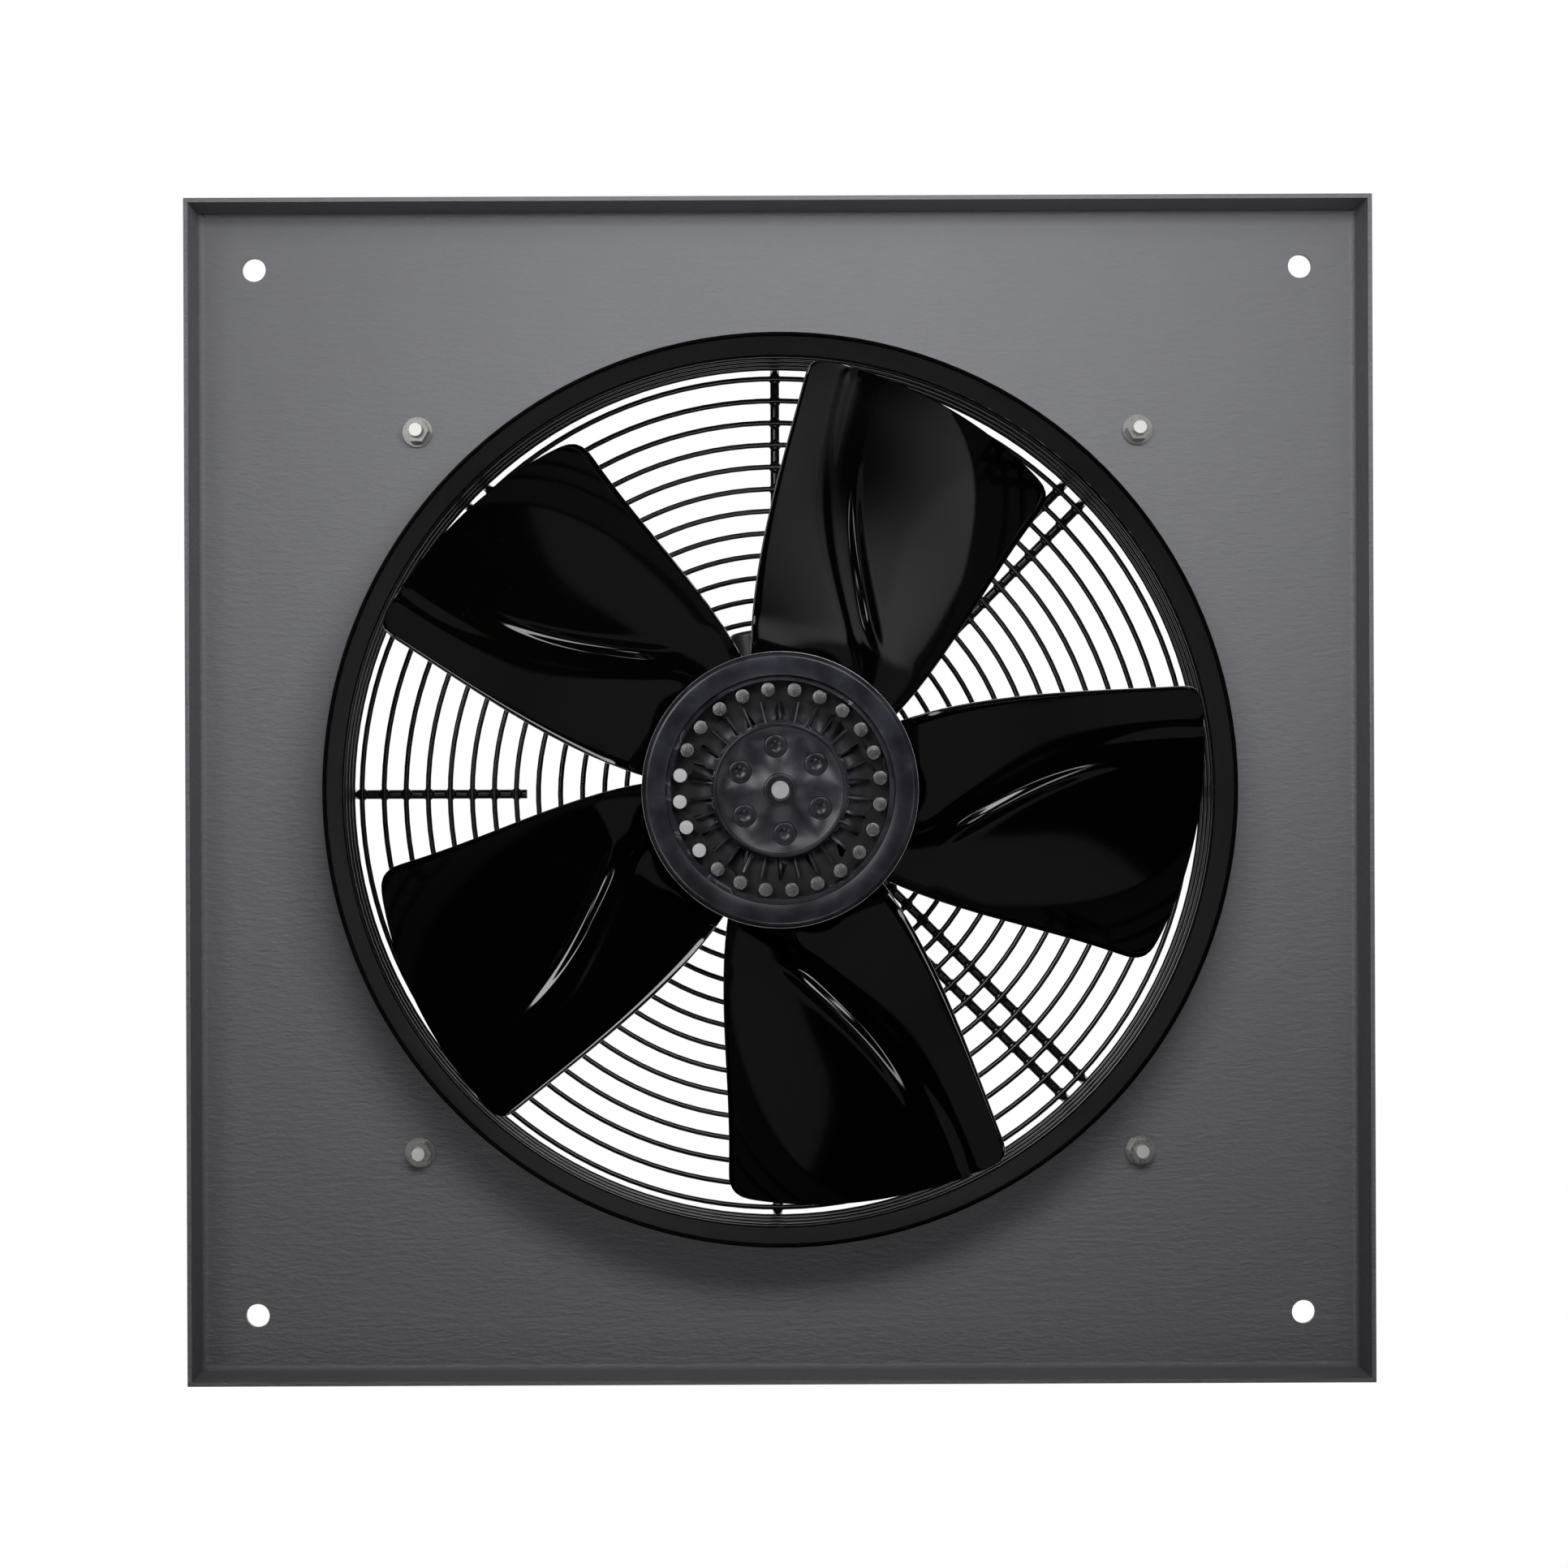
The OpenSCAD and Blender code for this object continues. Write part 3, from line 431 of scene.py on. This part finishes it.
class FanStage(bpy.types.PropertyGroup):
    """Camera, lamps and floor."""

    distance: bpy.props.FloatProperty(
        name="Distance", description="From the camera to the plate's sheet", unit="LENGTH", default=1.1)
    offset_x: bpy.props.FloatProperty(
        name="Offset across", description="Camera's place to the right of the axis", unit="LENGTH",
        default=-0.0209)
    offset_z: bpy.props.FloatProperty(
        name="Offset up", description="Camera's place above the axis", unit="LENGTH", default=-0.0167)
    lens: bpy.props.FloatProperty(
        name="Lens", description="Focal length on a 36 mm sensor, in millimetres", default=53.9)
    roll: bpy.props.FloatProperty(
        name="Roll", description="Turn of the camera about its view", unit="ROTATION",
        default=math.radians(0.22))
    floor_drop: bpy.props.FloatProperty(
        name="Floor drop", description="From the plate's lower edge down to the floor", unit="LENGTH",
        default=0.9)
    key: bpy.props.FloatProperty(
        name="Key lamp", description="Power of the soft lamp above the front, in watts", default=2.7)
    fill: bpy.props.FloatProperty(
        name="Fill lamp", description="Power of the lamp behind the fan, in watts", default=6)
    ambient: bpy.props.FloatProperty(
        name="Ambient", description="Strength of the light from all round", default=0.07)
    studio: bpy.props.FloatProperty(
        name="Studio", description="What gloss mirrors of the room in front of the fan", default=0.14)
    side_card: bpy.props.FloatProperty(
        name="Side card", description="Brightness of the card that lights the upper blade", default=0.6)
    top_card: bpy.props.FloatProperty(
        name="Bead cards", description="Brightness of the cards that the blades' beads mirror", default=9)


def select(objects):
    """Makes some objects the selected ones, and the first of them the active one."""
    bpy.ops.object.select_all(action="DESELECT")
    for obj in objects:
        obj.select_set(True)
    bpy.context.view_layer.objects.active = objects[0]


def coat(piece, finish):
    """Gives a piece one finish."""
    piece.data.materials.clear()
    piece.data.materials.append(finish.material)


def paint(slots, finish):
    """Gives the solids of some slots a finish."""
    for name in nodes_of(*slots):
        coat(frame["nodes"][name], finish)


def merged_copy(node, name):
    """A copy of a solid whose loose triangles are joined into one skin."""
    piece = frame["nodes"][node].copy()
    piece.data = piece.data.copy()
    piece.parent = None
    for key in list(piece.keys()):
        del piece[key]
    piece.name = piece.data.name = name
    bpy.context.scene.collection.objects.link(piece)
    select([piece])
    bend, skew = math.radians(40), math.radians(60)
    bpy.ops.object.mode_set(mode="EDIT")
    bpy.ops.mesh.select_all(action="SELECT")
    bpy.ops.mesh.remove_doubles(threshold=MERGE_GAP)
    bpy.ops.mesh.tris_convert_to_quads(face_threshold=bend, shape_threshold=skew)
    bpy.ops.object.mode_set(mode="OBJECT")
    return piece


def stands_for(piece, node, body):
    """Puts a piece in place of a solid on a body, and hides the solid."""
    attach(piece, body)
    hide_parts(node)


class FAN_OT_stage(bpy.types.Operator):
    """Adds the camera, the lamps, the surroundings and the floor"""

    bl_idname = "fan.stage"
    bl_label = "Set the stage"

    # Place, target, width and height of each lamp, in metres
    key_lamp = ((0.06, -0.6, 0.3), (0.01, 0, 0.2), 0.5, 0.24)
    room_lamp = ((0.5, 1.3, 0.9), (0, 0.05, 0), 1.2, 0.8)
    key_spread = math.radians(110)
    floor_size = 4
    # Share of the frame's width by which the plate's middle lies left of and below the frame's
    left_share, below_share = 0.00324, 0.00453
    # What a gloss surface mirrors, in degrees. The walls are a band round the way to the camera.
    wall_inner, wall_outer = (63.3, 63.9), (80, 82)
    # Dark stretches of the walls: angle round the view, lean off it, full within, gone past
    shades = ((143, 68, 22, 26), (84, 66, 9, 12))
    # The same four angles for the cards that the beads mirror, and a share of their brightness
    bead_cards = ((140, 30, 11, 13, 1), (210, 30, 7, 9, 0.6), (65, 30, 9, 11, 0.8),
                  (280, 30, 7, 9, 0.6), (350, 28, 5, 7, 0.4))
    side_card = (345, 64, 3, 17)

    def execute(self, context):
        stage = context.scene.fan_stage
        context.scene.view_settings.view_transform = "Standard"
        self.add_camera(context, stage)
        self.add_lamps(stage)
        self.add_surroundings(context, stage)
        self.add_floor(stage)
        return {"FINISHED"}

    def add_camera(self, context, stage):
        place = (stage.offset_x, -stage.distance, stage.offset_z)
        bpy.ops.object.camera_add(location=place, rotation=(math.pi / 2, stage.roll, 0))
        camera = context.object
        camera.name = "camera"
        camera.data.lens = stage.lens
        camera.data.sensor_width = SENSOR
        sensor_share = stage.lens / SENSOR / stage.distance
        camera.data.shift_x = -stage.offset_x * sensor_share + self.left_share
        camera.data.shift_y = -stage.offset_z * sensor_share + self.below_share
        context.scene.camera = camera

    def add_lamp(self, name, place, target, size, size_up, power):
        bpy.ops.object.light_add(type="AREA", location=place)
        lamp = bpy.context.object
        lamp.name = name
        lamp.data.shape = "RECTANGLE"
        lamp.data.size = size
        lamp.data.size_y = size_up
        lamp.data.energy = power
        lamp.rotation_euler = (Vector(target) - Vector(place)).to_track_quat("-Z", "Y").to_euler()
        return lamp

    def add_lamps(self, stage):
        key = self.add_lamp("key_lamp", *self.key_lamp, stage.key)
        key.data.spread = self.key_spread
        key.visible_glossy = False
        key.visible_camera = False
        self.add_lamp("room_lamp", *self.room_lamp, stage.fill)

    def add_surroundings(self, context, stage):
        """White to the camera. Gloss mirrors the white behind the fan, and a dark studio with cards."""
        world = bpy.data.worlds.new("surroundings")
        world.use_nodes = True
        context.scene.world = world
        world.node_tree.nodes.clear()
        sky = Nodes(world.node_tree)
        towards = sky.node("TexCoord", {}, {}, "Generated")

        def glow(direction, inner, outer, strength):
            """Light from round a direction, full within one angle and gone past another, in degrees."""
            axis = Vector(direction).normalized()
            values = [towards, tuple(axis)]
            facing = sky.node("VectorMath", {"operation": "DOT_PRODUCT"}, values, "Value")
            return facing.between(math.cos(math.radians(outer)), math.cos(math.radians(inner))) * strength

        # What a flat mirror in the plate's place shows the camera, and what lies behind the fan
        forward = (-stage.offset_x, -stage.distance, -stage.offset_z)
        behind = (0, 1, 0)

        def card(turn, lean, inner, outer, strength):
            """A glow by its angle round the view, from the right, and its lean off it, in degrees."""
            across, up = math.cos(math.radians(turn)), math.sin(math.radians(turn))
            lean = math.radians(lean)
            axis = (across * math.sin(lean), -math.cos(lean), up * math.sin(lean))
            return glow(axis, inner, outer, strength)

        walls = (glow(forward, *self.wall_outer, 1) - glow(forward, *self.wall_inner, 1)) * stage.studio
        for place in self.shades:
            walls = walls * (1 - card(*place, 1))
        mirrored = walls + glow(behind, 40, 60, 1.0) + card(*self.side_card, stage.side_card)
        for *place, share in self.bead_cards:
            mirrored = mirrored + card(*place, stage.top_card * share)
        gloss = sky.node("LightPath", {}, {}, "Is Glossy Ray")
        clear = sky.node("LightPath", {}, {}, "Is Transmission Ray")
        seen = sky.node("LightPath", {}, {}, "Is Camera Ray")
        mirror = gloss.maths("MAXIMUM", clear)
        strength = mirrored * mirror + (1 - mirror) * stage.ambient
        strength = seen + (1 - seen) * strength
        light = sky.node("Background", {}, {"Color": (1, 1, 1), "Strength": strength})
        sky.node("OutputWorld", {}, {"Surface": light}, None)

    def add_floor(self, stage):
        low = solid_box[0].z - stage.floor_drop
        bpy.ops.mesh.primitive_plane_add(size=self.floor_size, location=(0, 0, low))
        floor = bpy.context.object
        floor.name = "floor"
        finish = Finish("pale_floor", Roughness=0.8, Specular_IOR_Level=0.2)
        mottle = finish.noise(finish.place(), 3, 3)
        finish.feed("Base Color", finish.blend(mottle, (0.78, 0.78, 0.78), (0.82, 0.82, 0.82)))
        floor.data.materials.append(finish.material)
        floor.visible_glossy = False


class FAN_OT_blades(bpy.types.Operator):
    """Makes the smooth pressed blades from the faceted ones"""

    bl_idname = "fan.blades"
    bl_label = "Press the blades"

    levels: bpy.props.IntProperty(
        name="Smoothing", description="Subdivision levels", default=2, min=1, max=3)
    rim_crease: bpy.props.FloatProperty(
        name="Rim", description="Sharpness of the sheet's rim", default=0.6)

    shade_angle = math.radians(50)
    rim_angle = math.radians(55)

    def execute(self, context):
        finish = black_gloss("blade_enamel", context.scene.fan_colours.blade, 0.05)
        for node in BLADES:
            piece = merged_copy(node, node.replace("blade", "pressed_blade"))
            self.press(piece, 360 / len(BLADES) * (int(node[-1]) - 1))
            self.crease_rim(piece)
            smoother = piece.modifiers.new("Smooth", "SUBSURF")
            smoother.levels = smoother.render_levels = self.levels
            bpy.ops.object.modifier_apply(modifier=smoother.name)
            bpy.ops.object.shade_smooth_by_angle(angle=self.shade_angle)
            coat(piece, finish)
            # Blades would mirror one another where the photograph's mirror the studio
            piece.visible_glossy = False
            stands_for(piece, node, "rotor")
        return {"FINISHED"}

    def press(self, piece, turn):
        """Moves each point of the sheet to its pressed depth."""
        sheet = PressedSheet()
        for vertex in piece.data.vertices:
            vertex.co.y += sheet.shift(vertex.co, turn)

    def crease_rim(self, piece):
        """Keeps the edges between the sheet's faces and its rim fairly sharp."""
        mesh = piece.data
        crease = mesh.attributes.new("crease_edge", "FLOAT", "EDGE")
        faces_at = {}
        for face in mesh.polygons:
            for key in face.edge_keys:
                faces_at.setdefault(key, []).append(face.normal)
        for edge in mesh.edges:
            normals = faces_at[tuple(sorted(edge.vertices))]
            if len(normals) == 2 and normals[0].angle(normals[1]) > self.rim_angle:
                crease.data[edge.index].value = self.rim_crease


def soften(node, name, body, width, finish, steps=2):
    """Stands a copy with broken edges in place of a solid."""
    sharp_angle, shade_angle = math.radians(38), math.radians(40)
    piece = merged_copy(node, name)
    edges = piece.modifiers.new("Edges", "BEVEL")
    edges.width = width
    edges.segments = steps
    edges.limit_method = "ANGLE"
    edges.angle_limit = sharp_angle
    edges.use_clamp_overlap = True
    bpy.ops.object.modifier_apply(modifier=edges.name)
    bpy.ops.object.shade_smooth_by_angle(angle=shade_angle)
    coat(piece, finish)
    stands_for(piece, node, body)


class FAN_OT_welds(bpy.types.Operator):
    """Adds the spot welds where the basket's rods cross its rings"""

    bl_idname = "fan.welds"
    bl_label = "Weld the basket"

    reach: bpy.props.FloatProperty(
        name="Reach", description="Half width of a weld", unit="LENGTH", default=0.0031)
    rise: bpy.props.FloatProperty(
        name="Rise", description="Half height of a weld between two wires", unit="LENGTH", default=0.0017)

    # Places of the basket's wires in the solids, in metres
    ring_r = 0.2057
    ring_pitch = 0.01095
    ring_count = 13
    face_y = 0.0672
    side_r = 0.20865
    side_ys = (0.045, 0.036, 0.027, 0.018)
    arm_half_gap = 0.0065
    strut_start = 0.124

    def execute(self, context):
        bpy.ops.mesh.primitive_uv_sphere_add(segments=10, ring_count=6, radius=1, location=(0, 0, 0))
        blob = context.object
        bpy.ops.object.shade_smooth()
        parts = []
        flat = Vector((self.reach, self.rise, self.reach))
        upright = Vector((self.rise, self.reach, self.reach))
        for place, angle, size in self.crossings(flat, upright):
            part = blob.copy()
            part.data = blob.data.copy()
            part.location = place
            part.rotation_euler = (0, -angle, 0)
            part.scale = size
            context.scene.collection.objects.link(part)
            parts.append(part)
        bpy.data.objects.remove(blob)
        select(parts)
        bpy.ops.object.join()
        bpy.ops.object.transform_apply(location=True, rotation=True, scale=True)
        welds = context.object
        welds.name = welds.data.name = "basket_welds"
        coat(welds, black_gloss("weld_coat", context.scene.fan_colours.wire, 0.26))
        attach(welds, "housing")
        return {"FINISHED"}

    def crossings(self, flat, upright):
        """Place, turn and size of each weld: flat ones on the face, upright ones down the side."""
        for quarter in range(4):
            strut_angle = quarter * math.pi / 2
            lines = [(strut_angle, 0, self.strut_start)]
            for side in (-1, 1):
                lines.append((strut_angle + math.pi / 4, side * self.arm_half_gap, 0))
            for angle, offset, start in lines:
                for ring in range(self.ring_count):
                    r = self.ring_r - ring * self.ring_pitch
                    if r > start:
                        along = math.sqrt(r * r - offset * offset)
                        yield self.on_plate(angle, along, offset, self.face_y), angle, flat
                for y in self.side_ys:
                    along = math.sqrt(self.side_r ** 2 - offset * offset)
                    yield self.on_plate(angle, along, offset, y), angle, upright

    def on_plate(self, angle, along, offset, y):
        """A point from its place along and across a line from the axis."""
        x = along * math.cos(angle) - offset * math.sin(angle)
        z = along * math.sin(angle) + offset * math.cos(angle)
        return Vector((x, y, z))


class FAN_OT_hub(bpy.types.Operator):
    """Breaks the edges of the hub's pieces, so that they catch the light"""

    bl_idname = "fan.hub"
    bl_label = "Soften the hub"

    edge: bpy.props.FloatProperty(
        name="Edge", description="Width of a broken edge", unit="LENGTH", default=0.0004)
    pin_edge: bpy.props.FloatProperty(
        name="Pin edge", description="Rounding of the cast pins", unit="LENGTH", default=0.0013)

    def execute(self, context):
        enamel = hub_enamel(context.scene.fan_colours)
        recess = recess_enamel(context.scene.fan_colours)
        soften("hub_disc", "disc_with_edges", "rotor", self.edge, enamel)
        soften("hub_screws", "screws_with_edges", "rotor", self.edge / 2, enamel)
        soften("rotor_can", "can_with_edges", "rotor", self.edge / 2, recess)
        soften("hub_ring", "ring_with_edges", "rotor", self.edge, enamel)
        soften("rotor_cage", "cage_with_rounded_pins", "rotor", self.pin_edge, pin_metal(), 4)
        return {"FINISHED"}


class FAN_OT_paint(bpy.types.Operator):
    """Finishes the solids that keep their own shape"""

    bl_idname = "fan.paint"
    bl_label = "Paint the solids"

    def execute(self, context):
        colours = context.scene.fan_colours
        paint(["plate_paint"], grey_enamel(colours))
        paint(["ring_paint"], matt_black(colours))
        for name in nodes_of("ring_paint"):
            # The nozzle would hide the studio from the blades
            frame["nodes"][name].visible_glossy = False
        paint(["guard_coat"], black_gloss("basket_coat", colours.wire, 0.22))
        paint(["blade_paint"], black_gloss("sheet_enamel", colours.blade, 0.16))
        paint(["hub_paint", "rotor_paint", "screw_black"], hub_enamel(colours))
        paint(["flange_paint"], black_gloss("cast_enamel", lit(colours.wire, 2), 0.4, 0.00012))
        paint(["zinc_plate"], bare_metal("zinc", (0.6, 0.6, 0.58), 0.28, 0, 0.6))
        nut_zinc = bare_metal("nut_zinc", (0.3, 0.3, 0.29), 0.22, 0, 0.8)
        for node in ("guard_nuts", "guard_washers"):
            coat(frame["nodes"][node], nut_zinc)
        paint(["shaft_steel", "bearing_steel"], bare_metal("steel", (0.45, 0.45, 0.46), 0.25, 9000, 0.6))
        paint(["cage_aluminium"], bare_metal("cast_aluminium", (0.7, 0.7, 0.71), 0.42))
        paint(["lamination"], stacked_sheet())
        paint(["winding_copper"], wound_wire())
        paint(["insulator_nylon"], moulded("nylon", (0.7, 0.7, 0.64), 0.4))
        paint(["gland_plastic"], moulded("black_nylon", (0.012, 0.012, 0.013), 0.35))
        paint(["seal_rubber"], moulded("rubber", (0.018, 0.018, 0.018), 0.6))
        return {"FINISHED"}


class FAN_PT_fan(bpy.types.Panel):
    """Lists the steps that dress the fan"""

    bl_label = "Axial wall fan"
    bl_idname = "FAN_PT_fan"
    bl_space_type = "VIEW_3D"
    bl_region_type = "UI"
    bl_category = "Fan"

    def draw(self, context):
        for step in STEPS:
            self.layout.operator(step.bl_idname)
        for group in (context.scene.fan_colours, context.scene.fan_stage):
            for name in group.__annotations__:
                self.layout.prop(group, name)


STEPS = (FAN_OT_stage, FAN_OT_paint, FAN_OT_blades, FAN_OT_hub, FAN_OT_welds)
CLASSES = (FanColours, FanStage, *STEPS, FAN_PT_fan)


def register():
    for made in CLASSES:
        bpy.utils.register_class(made)
    bpy.types.Scene.fan_colours = bpy.props.PointerProperty(type=FanColours)
    bpy.types.Scene.fan_stage = bpy.props.PointerProperty(type=FanStage)


def unregister():
    del bpy.types.Scene.fan_stage
    del bpy.types.Scene.fan_colours
    for made in reversed(CLASSES):
        bpy.utils.unregister_class(made)


def main():
    register()
    bpy.ops.object.select_all(action="DESELECT")
    bpy.ops.fan.stage()
    bpy.ops.fan.paint()
    bpy.ops.fan.blades()
    bpy.ops.fan.hub()
    bpy.ops.fan.welds()


if __name__ == "__main__":
    main()
